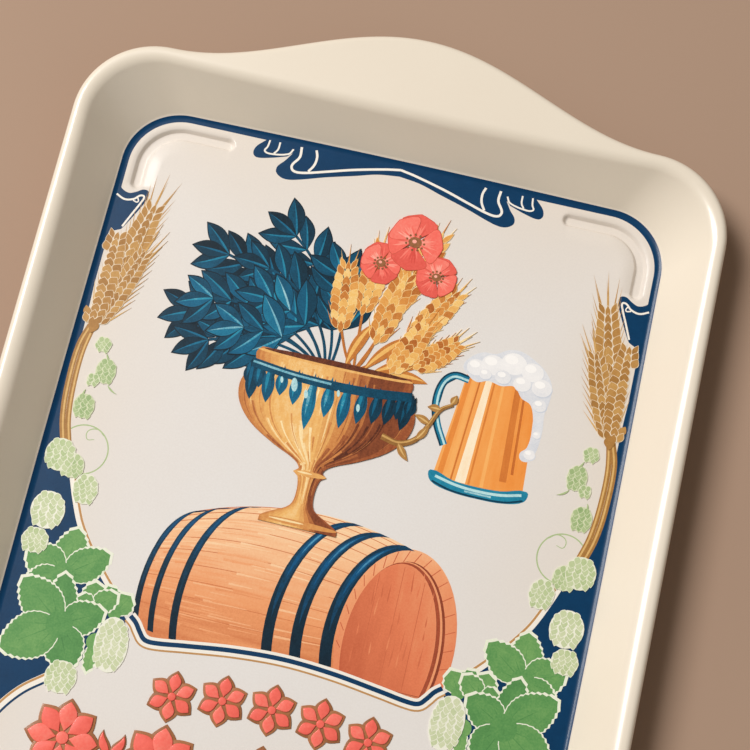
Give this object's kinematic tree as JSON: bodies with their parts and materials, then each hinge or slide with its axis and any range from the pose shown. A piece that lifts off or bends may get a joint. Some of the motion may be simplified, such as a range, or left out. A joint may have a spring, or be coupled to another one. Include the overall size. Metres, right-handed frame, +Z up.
{
  "type": "serving tray",
  "caption": "Rectangular pressed metal serving tray with flared walls, rolled rim, a wavy handle flange at each end, corner foot grooves and a printed vintage picture.",
  "frame": {"origin": "centre of the tray's outline, on the surface that the tray stands on", "axes": "+X across the tray, +Y along its length towards the top of the picture, +Z up out of the tray"},
  "size_m": [0.3, 0.44, 0.024],
  "materials": {
    "cream_enamel": "cream stove enamel under clear varnish on tinplate",
    "ground_ink": "off-white base coat under varnish",
    "navy_ink": "lithographed ink under varnish",
    "gold_ink": "lithographed ink under varnish",
    "pale_green_ink": "lithographed ink under varnish",
    "leaf_ink": "lithographed ink under varnish",
    "barrel_ink": "lithographed ink under varnish",
    "hoop_ink": "lithographed ink under varnish",
    "teal_ink": "lithographed ink under varnish",
    "red_ink": "lithographed ink under varnish",
    "amber_ink": "lithographed ink under varnish",
    "white_ink": "lithographed ink under varnish"
  },
  "bodies": {
    "root": {"tray_pan": "cream_enamel", "rolled_rim": "cream_enamel", "print_ground": "ground_ink", "navy_border": "navy_ink", "ribbon_top": "navy_ink", "ribbon_bottom": "navy_ink", "corner_hooks": "navy_ink", "wheat_left": "gold_ink", "wheat_right": "gold_ink", "hop_cones_left": "pale_green_ink", "hop_cones_right": "pale_green_ink", "hop_leaves_left": "leaf_ink", "hop_leaves_right": "leaf_ink", "tendrils": "pale_green_ink", "scroll_line": "navy_ink", "barrel_staves": "barrel_ink", "barrel_head": "barrel_ink", "barrel_hoops": "hoop_ink", "vase": "barrel_ink", "vase_glaze": "teal_ink", "vase_leaves": "teal_ink", "vase_ears": "gold_ink", "poppies": "red_ink", "twig": "gold_ink", "mug_beer": "amber_ink", "mug_glass": "teal_ink", "mug_foam": "white_ink", "raised_ornament": "red_ink"}
  },
  "joints": []
}
